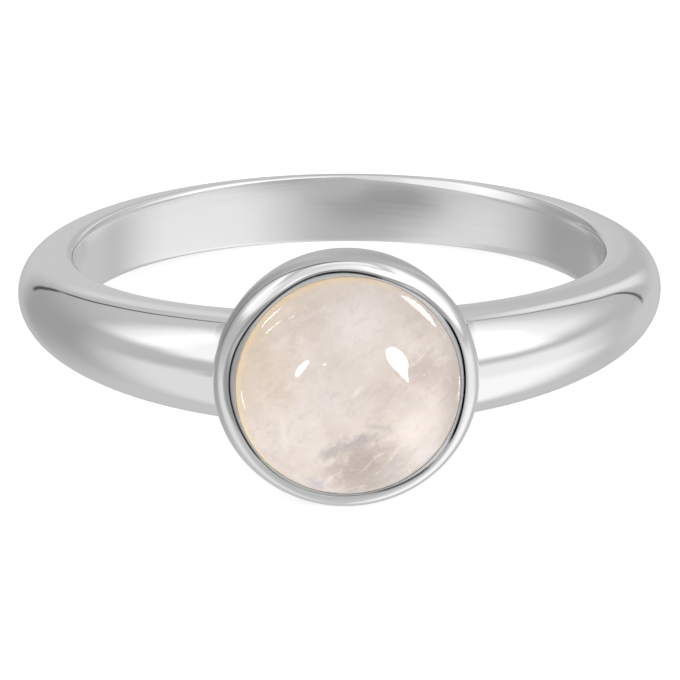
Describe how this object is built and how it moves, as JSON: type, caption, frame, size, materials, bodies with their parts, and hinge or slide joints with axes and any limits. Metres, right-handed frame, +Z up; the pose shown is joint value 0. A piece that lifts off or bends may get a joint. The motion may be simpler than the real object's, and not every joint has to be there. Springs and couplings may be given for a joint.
{
  "type": "moonstone ring",
  "caption": "Finger ring: a polished half-round silver band, wider at the front, with a round milky moonstone cabochon in a plain rubover bezel.",
  "frame": {"origin": "on the floor under the middle of the ring's bounding box, with the ring lying on its side as it rests by itself", "axes": "+Z up, -Y the way the stone faces (it faces about 9 degrees upwards as the ring lies), +X to the right of the stone"},
  "size_m": [0.021, 0.022, 0.0084],
  "materials": {
    "silver": "high polish",
    "moonstone": "polished, milky and faintly veiled"
  },
  "bodies": {
    "root": {"band_and_bezel": "silver", "moonstone": "moonstone"}
  },
  "joints": []
}
